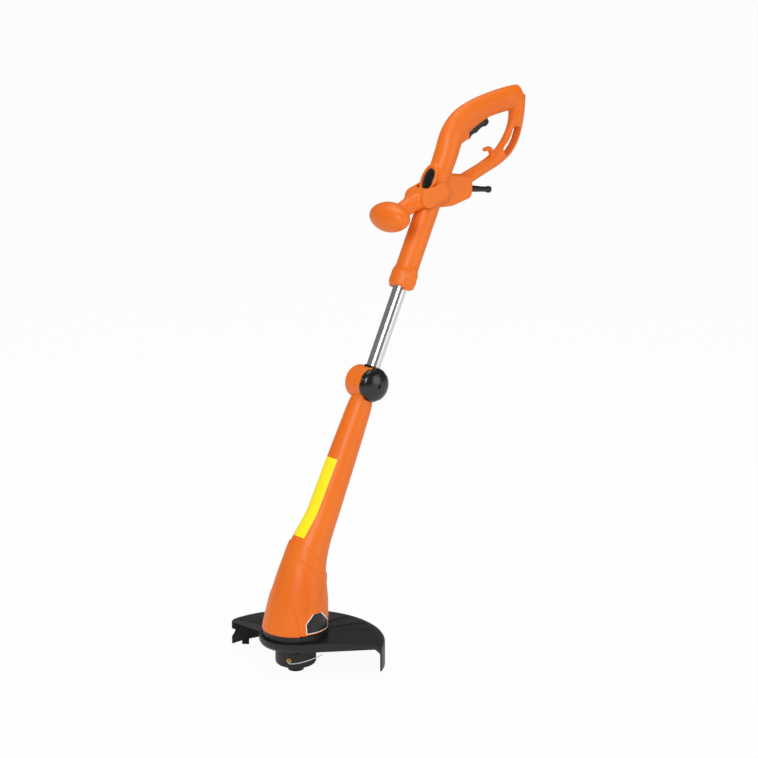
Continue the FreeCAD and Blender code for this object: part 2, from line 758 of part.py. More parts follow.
save("tilt_lug", make_lug())
save("clamp_knob", make_knob())
save("clamp_bolt", across(pivot_r, -boss_near - moving - 6, boss_far - 1.0, knuckle))
save("clamp_nut", make_nut())
save("shaft_tube", to_row(disc(tube_r, tube_low_s, tube_top_s, tube_r - tube_wall)))

# ---- handle ----
trigger_along = Vector(math.cos(math.radians(trigger_heading)), 0, math.sin(math.radians(trigger_heading)))
trigger_out = Vector(-trigger_along.z, 0, trigger_along.x)
trigger_at, = points_from_neck(trigger_pivot)


def trigger_spot(t, n):
    """Point t along the trigger from its pivot and n out towards the fingers."""
    return trigger_at + trigger_along * t + trigger_out * n


def trigger_outline(points):
    return [(trigger_spot(t, n).x, trigger_spot(t, n).z) for t, n in points]


def stalk_stations():
    rows = []
    for s, r in ((neck_s - 45, stalk_r), (neck_s - 20, stalk_r + 0.4), (neck_s, stalk_r + 0.9)):
        p = shaft_point(0, s)
        rows.append((p.x, p.z, r, r))
    return rows


def make_handle():
    """Both handle shells in one piece, hollow, with every opening cut."""
    top = neck_s - 44
    stalk = disc(stalk_r, collar_s, top)
    collar = Part.makeCylinder(collar_r, collar_length - 8, Vector(0, 0, collar_s + 3))
    collar = collar.fuse(Part.makeCone(collar_r, stalk_r, 8, Vector(0, 0, collar_s + collar_length - 5)))
    collar = collar.fuse(Part.makeCone(stalk_r + 1, collar_r, 3, Vector(0, 0, collar_s)))
    ring = Part.makeCylinder(stalk_r + 1.0, 2 * button_long + 30, Vector(0, 0, button_s - button_long - 15))
    rim = oval(button_long + button_rim, button_wide + button_rim, -stalk_r - 10, -2)
    trunnions = across(trunnion_r, -stalk_r - trunnion_length, stalk_r + trunnion_length, shaft_point(0, aux_s))
    grip_rows = stalk_stations() + from_neck(*grip_path)
    grip = limb(grip_rows)
    rear = limb(from_neck(*rear_path))
    block = prism(from_neck(*block_outline), -block_half, block_half)
    block = block.makeFillet(3.0, [e for e in block.Edges if abs(e.BoundBox.YLength) < 1e-6])
    lip = prism(trigger_outline(lip_outline), -lip_half, lip_half)
    foot, bend, tip = points_from_neck(hook_foot, hook_top, hook_tip)
    hook = obround(foot, bend, 4.0, -7, 7).fuse(obround(bend, tip, 3.5, -7, 7))
    outside = to_row(stalk.fuse([collar, ring.common(rim)]))
    outside = outside.fuse([grip, rear, block, lip, trunnions, hook])

    void = to_row(disc(stalk_r - handle_wall, tube_top_s + 3, top))
    void = void.fuse(limb(grip_rows, handle_wall))
    bore = to_row(disc(tube_r + running, collar_s - 1, tube_top_s + 4))
    shell = outside.cut(void.fuse(bore))
    shell = add_screw_seats(shell, outside, handle_screw_spots)
    slot_line = points_from_neck(*rear_slot)
    for start, end in zip(slot_line, slot_line[1:]):
        shell = shell.cut(obround(start, end, rear_slot_half, -40, 40))
    room = trigger_half + moving
    slot = trigger_outline(((-8, 18), (trigger_length + 2, 18), (trigger_length + 2, -16), (-8, -12)))
    shell = shell.cut(prism(slot, -room, room))
    shell = shell.cut(across(trigger_pin_r, -trigger_half - 6, trigger_half + 6, trigger_at))
    shell = shell.cut(to_row(oval(button_long + moving, button_wide + moving, -stalk_r - 10, -4)))
    shell = shell.cut(boot_seat())
    return shell


def oval(half_long, half_wide, near, far):
    """Oval prism across the front of the stalk, about the button's centre."""
    curve = Part.Ellipse(ORIGIN, half_long, half_wide)
    face = Part.Face(Part.Wire(curve.toShape()))
    body = face.extrude(Vector(0, 0, far - near))
    body.rotate(ORIGIN, AXIS_Y, 90)
    body.rotate(ORIGIN, AXIS_X, 180)
    body.translate(Vector(near, 0, button_s))
    return body


boot_dir = Vector(math.cos(math.radians(boot_drop)), 0, -math.sin(math.radians(boot_drop)))
boot_at, = points_from_neck(boot_root)


def boot_seat():
    """Room in the cable block for the boot's flange and shank."""
    flange = Part.makeCylinder(boot_root_r + 2 + running, 3 + running, boot_at - boot_dir * 3, boot_dir)
    shank = Part.makeCylinder(boot_root_r + running, 20, boot_at, boot_dir)
    lead = Part.makeCylinder(lead_bore_r, 60, boot_at - boot_dir * 62, boot_dir)
    return flange.fuse([shank, lead])


handle_screw_spots = [shaft_point(0, tube_top_s + 14), shaft_point(0, neck_s - 12)] + points_from_neck(
    (25.3, -78.6), (114.3, 89.4), (159.3, 59.4), (77.3, -33.6))
handle = make_handle()
handle_left, handle_right = halves(handle)
save("handle_left", handle_left)
save("handle_right", handle_right)
save("handle_screws", Part.makeCompound([screw(p) for p in handle_screw_spots]))


def make_trigger():
    """Waved finger trigger on a cross pin under the front of the grip."""
    outline = trigger_outline(trigger_crest + trigger_back)
    body = prism(outline, -trigger_half, trigger_half)
    return body.cut(across(trigger_pin_r + running, -40, 40, trigger_at))


def make_switch():
    width = 2 * (grip_width - handle_wall + switch_fit)
    corner = Vector(-switch_length / 2, -width / 2, -switch_height / 2)
    body = Part.makeBox(switch_length, width, switch_height, corner)
    body.rotate(ORIGIN, AXIS_Y, 180 - trigger_heading)
    body.translate(trigger_spot(0.6 * trigger_length, -22.0))
    return body


def make_button():
    """Domed oval button, lipped inside so that it can't come out."""
    rise = stalk_r + button_rise
    body = oval(button_long, button_wide, -rise - 6, -stalk_r + 8)
    dome = Part.makeSphere(1.0)
    stretch = FreeCAD.Matrix()
    stretch.scale(rise + 1.2, 24.0, 38.0)
    dome = dome.transformGeometry(stretch)
    dome.translate(Vector(1.2, 0, button_s))
    body = body.common(dome)
    inner = -stalk_r + handle_wall + 0.7
    tabs = Part.makeBox(2.5, 6, 2 * button_long + 6, Vector(inner, -3, button_s - button_long - 3))
    return to_row(body.fuse(tabs))


save("trigger", make_trigger())
save("trigger_pin", across(trigger_pin_r, -trigger_half - 5.5, trigger_half + 5.5, trigger_at))
save("power_switch", make_switch())
save("lock_button", make_button())

# ---- front handle ----
aux_pivot = shaft_point(0, aux_s)
drop = math.radians(aux_drop)
aux_dir = Vector(-math.cos(drop), 0, -math.sin(drop))


def pommel_ball(centre):
    """Egg-shaped grip, long across the tool: two round ends joined by flatter sides."""
    end_y = pommel_half_long - pommel_end_r
    fuller = pommel_r - pommel_end_r
    side_x = (end_y ** 2 - fuller ** 2) / (2 * fuller)
    side_r = pommel_r + side_x
    reach = math.hypot(side_x, end_y)
    meet = Vector(side_r * side_x / reach - side_x, side_r * end_y / reach, 0)
    half = math.atan2(meet.x, meet.y - end_y) / 2
    middle = Vector(pommel_end_r * math.sin(half), end_y + pommel_end_r * math.cos(half), 0)
    pole = Vector(0, pommel_half_long, 0)
    low = [Vector(p.x, -p.y, 0) for p in (meet, middle, pole)]
    edges = [Part.Arc(pole, middle, meet).toShape(), Part.Arc(meet, Vector(pommel_r, 0, 0), low[0]).toShape(),
             Part.Arc(*low).toShape(), Part.LineSegment(low[2], pole).toShape()]
    ball = Part.Face(Part.Wire(edges)).revolve(ORIGIN, AXIS_Y, 360)
    ball.translate(centre)
    return ball


def make_aux():
    """Yoke over the stalk's trunnions, a short stem and a cross-wise pommel."""
    clear = stalk_r + 1.4
    fork = clear + cheek_thick
    reach = aux_reach
    path = []
    for share, half_height, half_width in ((0.93, aux_thick, aux_wide), (0.72, aux_thick, aux_wide),
                                           (0.52, aux_thick + 0.5, 17.0), (0.38, aux_thick + 1.5, 23.0),
                                           (0.26, aux_thick + 3, fork)):
        p = aux_pivot + aux_dir * (reach * share)
        path.append((p.x, p.z, half_height, half_width))
    stem = limb(path)
    yoke = obround(aux_pivot, aux_pivot + aux_dir * (reach * 0.3), aux_thick + 3, -fork, fork)
    yoke = yoke.fuse(across(cheek_r, -fork, fork, aux_pivot))
    body = stem.fuse([yoke, pommel_ball(aux_pivot + aux_dir * reach)])
    room = Part.makeBox(2 * clear, 2 * clear, 340, Vector(-clear, -clear, aux_s - 170))
    nose = Part.makeBox(30, 2 * (button_wide + 1.5), 2 * (button_long + 2), Vector(
        -stalk_r - button_rise - 1.5, -button_wide - 1.5, button_s - button_long - 2))
    room = room.fuse(nose)
    steps = 6
    for step in range(steps):
        swung = to_row(room)
        swung.rotate(aux_pivot, AXIS_Y, aux_down - (aux_down + aux_up) * step / (steps - 1))
        body = body.cut(swung)
    body = body.cut(across(trunnion_r + running, -stalk_r - trunnion_length - 0.4,
                           stalk_r + trunnion_length + 0.4, aux_pivot))
    return max(body.Solids, key=lambda solid: solid.Volume)


def make_boot():
    """Rubber strain relief with a beaded end, bored for the supply cord."""
    flange = Part.makeCylinder(boot_root_r + 2, 3, boot_at - boot_dir * 3, boot_dir)
    root = Part.makeCylinder(boot_root_r, 6, boot_at, boot_dir)
    taper = Part.makeCone(boot_root_r, boot_neck_r, boot_length - 26, boot_at + boot_dir * 6, boot_dir)
    neck = Part.makeCylinder(boot_neck_r, 12, boot_at + boot_dir * (boot_length - 20), boot_dir)
    bead = Part.makeCylinder(boot_bead_r, 8, boot_at + boot_dir * (boot_length - 8), boot_dir)
    bead = bead.makeFillet(2.0, bead.Edges)
    body = flange.fuse([root, taper, neck, bead])
    return body.cut(Part.makeCylinder(cord_bore_r, boot_length + 10, boot_at - boot_dir * 5, boot_dir))


save("aux_handle", make_aux())
save("cord_boot", make_boot())
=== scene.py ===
import bpy, json, math
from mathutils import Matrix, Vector

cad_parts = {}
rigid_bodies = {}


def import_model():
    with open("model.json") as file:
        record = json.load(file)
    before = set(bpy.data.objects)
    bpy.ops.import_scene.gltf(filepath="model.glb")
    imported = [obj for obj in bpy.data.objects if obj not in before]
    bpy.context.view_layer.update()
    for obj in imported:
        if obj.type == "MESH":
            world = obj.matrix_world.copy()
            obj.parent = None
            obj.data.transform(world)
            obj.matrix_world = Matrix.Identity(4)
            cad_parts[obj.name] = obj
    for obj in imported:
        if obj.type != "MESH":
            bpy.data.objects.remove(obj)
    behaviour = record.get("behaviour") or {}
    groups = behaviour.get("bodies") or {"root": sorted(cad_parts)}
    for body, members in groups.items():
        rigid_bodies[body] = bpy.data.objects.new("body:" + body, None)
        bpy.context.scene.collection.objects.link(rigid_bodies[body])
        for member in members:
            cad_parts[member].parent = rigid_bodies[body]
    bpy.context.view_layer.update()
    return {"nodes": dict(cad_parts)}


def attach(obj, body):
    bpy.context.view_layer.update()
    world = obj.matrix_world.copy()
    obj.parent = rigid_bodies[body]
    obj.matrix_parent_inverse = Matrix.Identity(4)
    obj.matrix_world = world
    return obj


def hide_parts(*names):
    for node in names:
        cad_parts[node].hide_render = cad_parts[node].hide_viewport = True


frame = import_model()
mm = 0.001

# Where things are
lean = math.radians(24.3)                              # the shaft leans towards the user
shaftFoot = Vector((-0.0044, 0, 0.130))
shaftDir = Vector((math.sin(lean), 0, math.cos(lean)))
shaftSide = Vector((math.cos(lean), 0, -math.sin(lean)))


def onShaft(u, s, y=0.0):
    return shaftFoot + shaftSide * (u * mm) + shaftDir * (s * mm) + Vector((0, y * mm, 0))


# Camera
view = {"place": (-2.2144, -3.072, 1.3975), "looks": (0.600, 0.768, -0.225), "lens": 107.95}
bpy.ops.object.select_all(action="DESELECT")
bpy.ops.object.camera_add(location=view["place"])
camera = bpy.context.object
camera.rotation_euler = Vector(view["looks"]).to_track_quat("-Z", "Y").to_euler()
camera.data.lens = view["lens"]
camera.data.sensor_width = 36
camera.data.clip_end = 60
bpy.context.scene.camera = camera
print("camera placed")


# Materials
def linearColour(code):
    parts = [int(code[i:i + 2], 16) / 255 for i in (1, 3, 5)]
    return tuple([p / 12.92 if p <= 0.04045 else ((p + 0.055) / 1.055) ** 2.4 for p in parts] + [1.0])


def addNode(tree, kind, values=None, links=None, **settings):
    node = tree.nodes.new(kind)
    for key, value in settings.items():
        setattr(node, key, value)
    for key, value in (values or {}).items():
        node.inputs[key].default_value = value
    for key, source in (links or {}).items():
        tree.links.new(source, node.inputs[key])
    return node


def newMaterial(name):
    made = bpy.data.materials.new(name)
    made.use_nodes = True
    made.node_tree.nodes.clear()
    return made, made.node_tree


def finishMaterial(tree, values, links):
    shader = addNode(tree, "ShaderNodeBsdfPrincipled", values, links)
    addNode(tree, "ShaderNodeOutputMaterial", links={"Surface": shader.outputs["BSDF"]})


def setRamp(node, stops):
    ramp = node.color_ramp
    while len(ramp.elements) > len(stops):
        ramp.elements.remove(ramp.elements[-1])
    while len(ramp.elements) < len(stops):
        ramp.elements.new(0.5)
    for element, (place, colour) in zip(ramp.elements, stops):
        element.position = place
        element.color = colour


# Fine ribs of the grip's sleeve, 3 mm apart about the bend's centre: they start at the sleeve's cross seam
# and end before the heel. They are drawn as relief in the material only.
ribs = {"bendX": 0.5025, "bendZ": 0.7877, "waves": 398.0, "seamLow": 0.9215, "seamHigh": 0.9235,
        "endFar": 0.468, "endNear": 0.464, "ribShare": 0.5, "seamShare": 1.2, "strength": 0.5,
        "height": 0.0006}


def ribbedSleeve(tree, place, under):
    def maths(kind, a, b):
        given = {i: v for i, v in enumerate((a, b)) if isinstance(v, float)}
        joined = {i: v for i, v in enumerate((a, b)) if not isinstance(v, float)}
        return addNode(tree, "ShaderNodeMath", given, joined, operation=kind).outputs[0]

    def between(axis, low, high):
        return addNode(tree, "ShaderNodeMapRange", {"From Min": low, "From Max": high},
                       {"Value": axis}).outputs[0]

    axes = addNode(tree, "ShaderNodeSeparateXYZ", links={"Vector": place}).outputs
    turn = maths("ARCTAN2", maths("SUBTRACT", axes["Z"], ribs["bendZ"]),
                 maths("SUBTRACT", axes["X"], ribs["bendX"]))
    wave = addNode(tree, "ShaderNodeMath", links={0: maths("MULTIPLY", turn, ribs["waves"])},
                   operation="SINE")
    above = between(axes["Z"], ribs["seamLow"], ribs["seamHigh"])
    sleeve = maths("MULTIPLY", above, between(axes["X"], ribs["endFar"], ribs["endNear"]))
    ribbed = maths("MULTIPLY", maths("MULTIPLY", wave.outputs[0], sleeve), ribs["ribShare"])
    height = maths("ADD", ribbed, maths("MULTIPLY", above, ribs["seamShare"]))
    return addNode(tree, "ShaderNodeBump", {"Strength": ribs["strength"], "Distance": ribs["height"]},
                   {"Height": height, "Normal": under}).outputs["Normal"]


# Injection moulded ABS with a fine spark-eroded grain: a broad soft sheen and a faint drift of colour where
# the melt flowed. The real grain is about 0.15 mm; it is drawn 1 to 2 mm across so that it shows.
def mouldedPlastic(name, look):
    made, tree = newMaterial(name)
    place = addNode(tree, "ShaderNodeTexCoord").outputs["Object"]
    flow = addNode(tree, "ShaderNodeTexNoise", {"Scale": look["flowScale"], "Detail": 3.0, "Roughness": 0.5},
                   {"Vector": place})
    grain = addNode(tree, "ShaderNodeTexNoise",
                    {"Scale": look["grainScale"], "Detail": 2.0, "Roughness": 0.6}, {"Vector": place})
    tint = addNode(tree, "ShaderNodeValToRGB", links={"Fac": flow.outputs["Fac"]})
    setRamp(tint, [(0.32, linearColour(look["dark"])), (0.68, linearColour(look["light"]))])
    rub = addNode(tree, "ShaderNodeMapRange",
                  {"From Min": 0.3, "From Max": 0.7, "To Min": look["rough"] - 0.04,
                   "To Max": look["rough"] + 0.05},
                  {"Value": flow.outputs["Fac"]})
    bump = addNode(tree, "ShaderNodeBump", {"Strength": look["bump"], "Distance": 0.0002},
                   {"Height": grain.outputs["Fac"]})
    relief = bump.outputs["Normal"]
    if look.get("ribs"):
        relief = ribbedSleeve(tree, place, relief)
    finishMaterial(tree, {"IOR": look["ior"], "Specular IOR Level": look["specular"],
                          "Coat Weight": look["coat"], "Coat Roughness": 0.25},
                   {"Base Color": tint.outputs["Color"], "Roughness": rub.outputs["Result"],
                    "Normal": relief})
    return made


orangeLook = {"dark": "#E66A00", "light": "#EC7306", "flowScale": 9.0, "grainScale": 1100.0, "rough": 0.40,
              "bump": 0.10, "ior": 1.53, "specular": 0.40, "coat": 0.0}
polypropyleneLook = {"dark": "#0E0D0F", "light": "#161517", "flowScale": 14.0, "grainScale": 900.0,
                     "rough": 0.42, "bump": 0.16, "ior": 1.49, "specular": 0.5, "coat": 0.0}
nylonLook = {"dark": "#080808", "light": "#0D0C0E", "flowScale": 20.0, "grainScale": 500.0, "rough": 0.20,
             "bump": 0.02, "ior": 1.53, "specular": 0.5, "coat": 0.15}
pvcLook = {"dark": "#0B0A0C", "light": "#121113", "flowScale": 30.0, "grainScale": 700.0, "rough": 0.48,
           "bump": 0.12, "ior": 1.52, "specular": 0.5, "coat": 0.0}
orangeAbs = mouldedPlastic("orangeMouldedAbs", orangeLook)
orangeGrip = mouldedPlastic("orangeRibbedAbs", {**orangeLook, "ribs": True})
blackPp = mouldedPlastic("blackMouldedPolypropylene", polypropyleneLook)
blackNylon = mouldedPlastic("glossyMouldedNylon", nylonLook)
softPvc = mouldedPlastic("softBlackPvc", pvcLook)


# Drawn aluminium tube: bright, with hairline draw marks along its length, drawn about 1 mm apart.
def drawnAluminium():
    made, tree = newMaterial("drawnAluminium")
    place = addNode(tree, "ShaderNodeTexCoord").outputs["Object"]
    turned = addNode(tree, "ShaderNodeMapping", {"Rotation": (0, -lean, 0), "Scale": (900.0, 900.0, 6.0)},
                     {"Vector": place})
    marks = addNode(tree, "ShaderNodeTexNoise", {"Scale": 1.0, "Detail": 2.0},
                    {"Vector": turned.outputs["Vector"]})
    rub = addNode(tree, "ShaderNodeMapRange", {"From Min": 0.3, "From Max": 0.7, "To Min": 0.16,
                                               "To Max": 0.28},
                  {"Value": marks.outputs["Fac"]})
    bump = addNode(tree, "ShaderNodeBump", {"Strength": 0.06, "Distance": 0.0001},
                   {"Height": marks.outputs["Fac"]})
    finishMaterial(tree, {"Base Color": linearColour("#E3E2E4"), "Metallic": 1.0},
                   {"Roughness": rub.outputs["Result"], "Normal": bump.outputs["Normal"]})
    return made


# Zinc plated or turned metal: small mottling of the plate, 3 mm across, and a soft reflection.
def platedMetal(name, look):
    made, tree = newMaterial(name)
    place = addNode(tree, "ShaderNodeTexCoord").outputs["Object"]
    mottle = addNode(tree, "ShaderNodeTexNoise", {"Scale": 330.0, "Detail": 4.0}, {"Vector": place})
    tint = addNode(tree, "ShaderNodeValToRGB", links={"Fac": mottle.outputs["Fac"]})
    setRamp(tint, [(0.35, linearColour(look["dark"])), (0.65, linearColour(look["light"]))])
    rub = addNode(tree, "ShaderNodeMapRange",
                  {"From Min": 0.3, "From Max": 0.7, "To Min": look["rough"] - 0.06,
                   "To Max": look["rough"] + 0.08},
                  {"Value": mottle.outputs["Fac"]})
    finishMaterial(tree, {"Metallic": 1.0},
                   {"Base Color": tint.outputs["Color"], "Roughness": rub.outputs["Result"]})
    return made


zincSteel = platedMetal("zincPlatedSteel", {"dark": "#9C9DA0", "light": "#B9BABD", "rough": 0.34})
turnedBrass = platedMetal("turnedBrass", {"dark": "#B98A3E", "light": "#D8A95A", "rough": 0.25})
blackedSteel = platedMetal("blackOxideSteel", {"dark": "#141316", "light": "#1D1C20", "rough": 0.42})
motorSteel = platedMetal("laminatedSteel", {"dark": "#4A4A4E", "light": "#66666B", "rough": 0.45})


# Extruded nylon cutting line: clear grey, slightly see-through at its skin.
def extrudedNylon():
    made, tree = newMaterial("extrudedNylonLine")
    place = addNode(tree, "ShaderNodeTexCoord").outputs["Object"]
    cloud = addNode(tree, "ShaderNodeTexNoise", {"Scale": 260.0, "Detail": 2.0}, {"Vector": place})
    tint = addNode(tree, "ShaderNodeValToRGB", links={"Fac": cloud.outputs["Fac"]})
    setRamp(tint, [(0.3, linearColour("#B9BBBE")), (0.7, linearColour("#DADCDF"))])
    finishMaterial(tree, {"Roughness": 0.28, "IOR": 1.53, "Transmission Weight": 0.15},
                   {"Base Color": tint.outputs["Color"]})
    return made


# Printed vinyl film with a clear overlaminate: even colour, a light orange-peel 1.5 mm across under the
# gloss.
def vinylFilm(name, dark, light, rough):
    made, tree = newMaterial(name)
    place = addNode(tree, "ShaderNodeTexCoord").outputs["Object"]
    peel = addNode(tree, "ShaderNodeTexNoise", {"Scale": 650.0, "Detail": 1.0}, {"Vector": place})
    tint = addNode(tree, "ShaderNodeValToRGB", links={"Fac": peel.outputs["Fac"]})
    setRamp(tint, [(0.3, linearColour(dark)), (0.7, linearColour(light))])
    bump = addNode(tree, "ShaderNodeBump", {"Strength": 0.05, "Distance": 0.0001},
                   {"Height": peel.outputs["Fac"]})
    finishMaterial(tree, {"Roughness": rough, "IOR": 1.5}, {"Base Color": tint.outputs["Color"],
                                                            "Normal": bump.outputs["Normal"]})
    return made


aluminium = drawnAluminium()
nylonLine = extrudedNylon()
yellowFilm = vinylFilm("yellowVinyl", "#FBE404", "#FFF00A", 0.35)
blackFilm = vinylFilm("blackVinyl", "#0E0D0F", "#151416", 0.3)
whiteFilm = vinylFilm("whiteVinyl", "#EDEBE8", "#F6F5F2", 0.35)
print("materials made")

nodeFinish = {
    "housing_left": orangeAbs, "housing_right": orangeAbs, "handle_left": orangeAbs,
    "handle_right": orangeAbs, "aux_handle": orangeAbs, "motor_base": blackPp, "guard": blackPp,
    "head_drum": blackPp, "head_cover": blackPp, "bump_cap": blackPp, "line_spool": blackPp,
    "tilt_lug": blackPp, "trigger": blackPp, "power_switch": blackPp, "clamp_knob": blackNylon,
    "lock_button": blackNylon, "cord_boot": softPvc, "shaft_tube": aluminium, "line_eyelet": turnedBrass,
    "line_coil": nylonLine, "trimmer_line": nylonLine, "motor_can": motorSteel, "motor_armature": motorSteel,
    "line_cutter": blackedSteel, "label_strip": yellowFilm, "badge_plate": blackFilm}
for nodeName, nodeObject in frame["nodes"].items():
    nodeObject.data.materials.clear()
    nodeObject.data.materials.append(nodeFinish.get(nodeName, zincSteel))
print("CAD pieces finished")


# Small helpers for modelling
def onlySelect(piece):
    bpy.ops.object.select_all(action="DESELECT")
    piece.select_set(True)
    bpy.context.view_layer.objects.active = piece


def startPiece(name):
    bpy.ops.object.select_all(action="DESELECT")
    bpy.ops.object.add(type="MESH", location=(0, 0, 0))
    piece = bpy.context.object
    piece.name = name
    piece.data.name = name
    bpy.ops.object.mode_set(mode="EDIT")
    return piece


def leaveEdit(piece, finish, body, angle=40):
    bpy.ops.object.mode_set(mode="OBJECT")
    piece.data.materials.clear()
    piece.data.materials.append(finish)
    onlySelect(piece)
    bpy.ops.object.shade_smooth_by_angle(angle=math.radians(angle))
    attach(piece, body)


# Circles added along a route and bridged, the way a hull is skinned. A ring is its centre, its direction,
# its half size in the joint plane and its half width.
def skinRings(rings, corners):
    bpy.ops.mesh.select_all(action="DESELECT")
    for centre, direction, halfUp, halfWide in rings:
        tilt = math.atan2(direction.x, direction.z)
        bpy.ops.mesh.primitive_circle_add(vertices=corners, radius=halfUp, location=centre,
                                          rotation=(0, tilt, 0))
        bpy.ops.transform.resize(value=(1, halfWide / halfUp, 1), center_override=centre)
    bpy.ops.mesh.select_all(action="SELECT")
    bpy.ops.mesh.bridge_edge_loops()
    bpy.ops.mesh.select_all(action="DESELECT")
    bpy.ops.mesh.select_non_manifold()
    bpy.ops.mesh.fill_holes(sides=0)
    bpy.ops.mesh.select_all(action="SELECT")
    bpy.ops.mesh.normals_make_consistent(inside=False)


def applyModifier(piece, kind, **settings):
    onlySelect(piece)
    added = piece.modifiers.new(kind, kind)
    for key, value in settings.items():
        setattr(added, key, value)
    bpy.ops.object.modifier_apply(modifier=added.name)


def joinPieces(name, pieces):
    bpy.ops.object.select_all(action="DESELECT")
    for piece in pieces:
        piece.select_set(True)
    bpy.context.view_layer.objects.active = pieces[0]
    bpy.ops.object.join()
    pieces[0].name = name
    return pieces[0]


def headings(stations):
    found = []
    for i in range(len(stations)):
        before, after = stations[max(i - 1, 0)], stations[min(i + 1, len(stations) - 1)]
        found.append((after[0] - before[0]).normalized())
    return found


# Smooth in-between stations of a limb (a Catmull-Rom curve through the given ones).
def betweenStations(stations, steps):
    filled = []
    for i in range(len(stations) - 1):
        a, b, c, d = (stations[max(i - 1, 0)], stations[i], stations[i + 1],
                      stations[min(i + 2, len(stations) - 1)])
        for k in range(steps):
            t = k / steps
            row = []
            for p, q, r, s in zip(a, b, c, d):
                square, cube = p * 2 - q * 5 + r * 4 - s, q * 3 - p - r * 3 + s
                row.append((q * 2 + (r - p) * t + square * (t * t) + cube * (t ** 3)) * 0.5)
            filled.append(tuple(row))
    filled.append(stations[-1])
    return filled


def makeLimb(name, table, corners, steps):
    stations = [(Vector((x * mm, y * mm, z * mm)), up * mm, wide * mm) for x, y, z, up, wide in table]
    stations = betweenStations(stations, steps)
    piece = startPiece(name)
    skinRings([(s[0], h, s[1], s[2]) for s, h in zip(stations, headings(stations))], corners)
    bpy.ops.object.mode_set(mode="OBJECT")
    return piece


def shaftRow(s, r):
    p = onShaft(0, s)
    return (p.x / mm, 0.0, p.z / mm, r, r)


def copyNodes(name, *nodes):
    copies = []
    for node in nodes:
        onlySelect(frame["nodes"][node])
        bpy.ops.object.duplicate()
        copies.append(bpy.context.object)
    piece = joinPieces(name, copies) if len(copies) > 1 else copies[0]
    onlySelect(piece)
    bpy.ops.object.parent_clear(type="CLEAR_KEEP_TRANSFORM")
    bpy.ops.object.transform_apply(location=True, rotation=True, scale=True)
    piece.name = piece.data.name = name
    for key in list(piece.keys()):                     # the copy keeps none of the node's tags
        del piece[key]
    bpy.ops.object.mode_set(mode="EDIT")
    bpy.ops.mesh.select_all(action="SELECT")
    bpy.ops.mesh.remove_doubles(threshold=0.00002)
    bpy.ops.mesh.normals_make_consistent(inside=False)
    bpy.ops.object.mode_set(mode="OBJECT")
    return piece


# Outline given as (x, z) corners in millimetres, drawn at one side and pulled across in Y.
def makePrism(name, corners, near, far):
    bpy.ops.object.select_all(action="DESELECT")
    mesh = bpy.data.meshes.new(name)
    mesh.from_pydata([(x * mm, near * mm, z * mm) for x, z in corners], [], [list(range(len(corners)))])
    piece = bpy.data.objects.new(name, mesh)
    bpy.context.collection.objects.link(piece)
    onlySelect(piece)
    bpy.ops.object.mode_set(mode="EDIT")
    bpy.ops.mesh.select_all(action="SELECT")
    bpy.ops.mesh.extrude_region_move(TRANSFORM_OT_translate={"value": (0, (far - near) * mm, 0)})
    bpy.ops.mesh.select_all(action="SELECT")
    bpy.ops.mesh.normals_make_consistent(inside=False)
    bpy.ops.object.mode_set(mode="OBJECT")
    return piece


def makeDisc(name, centre, radius, near, far):
    bpy.ops.object.select_all(action="DESELECT")
    bpy.ops.mesh.primitive_cylinder_add(vertices=96, radius=radius * mm, depth=(far - near) * mm,
                                        location=(centre.x, (near + far) / 2 * mm, centre.z),
                                        rotation=(math.pi / 2, 0, 0))
    piece = bpy.context.object
    piece.name = name
    bpy.ops.object.transform_apply(location=True, rotation=True, scale=True)
    return piece


def cutAway(piece, *cutters):
    for cutter in cutters:
        applyModifier(piece, "BOOLEAN", operation="DIFFERENCE", object=cutter, solver="EXACT")
        onlySelect(cutter)
        bpy.ops.object.delete()


def remesh(piece, voxel, smooth):
    applyModifier(piece, "REMESH", mode="VOXEL", voxel_size=voxel * mm)
    if smooth:
        applyModifier(piece, "SMOOTH", factor=0.5, iterations=smooth)


def standFor(piece, finish, body, slot, *nodes, angle=40):
    leaveEdit(piece, finish, body, angle)
    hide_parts(*nodes)


# Raised or sunk panel: the skin is cut along every side of a region and an edge's width inside it, then what
# lies within is moved. A side is (point, normal into the region) in millimetres.
def movePanel(piece, sides, height, near, edge, fade=(10000,)):
    sides = [(Vector(point) * mm, Vector(normal).normalized()) for point, normal in sides]

    def depth(place):
        return min((place - point).dot(normal) for point, normal in sides)

    onlySelect(piece)
    for point, normal in sides:
        for shift in (0.0, edge * mm):
            bpy.ops.object.mode_set(mode="EDIT")
            bpy.ops.mesh.select_mode(type="FACE")
            bpy.ops.mesh.select_all(action="DESELECT")
            bpy.ops.object.mode_set(mode="OBJECT")
            for face in piece.data.polygons:
                face.select = depth(face.center) > -2.0 * mm and near(face.center)
            bpy.ops.object.mode_set(mode="EDIT")
            bpy.ops.mesh.bisect(plane_co=point + normal * shift, plane_no=normal)
    bpy.ops.mesh.select_mode(type="VERT")
    for reach in fade:
        bpy.ops.mesh.select_all(action="DESELECT")
        bpy.ops.object.mode_set(mode="OBJECT")
        for corner in piece.data.vertices:
            corner.select = edge * 0.9 * mm < depth(corner.co) < reach * mm and near(corner.co)
        bpy.ops.object.mode_set(mode="EDIT")
        bpy.ops.transform.shrink_fatten(value=height * mm / len(fade))
    bpy.ops.object.mode_set(mode="OBJECT")


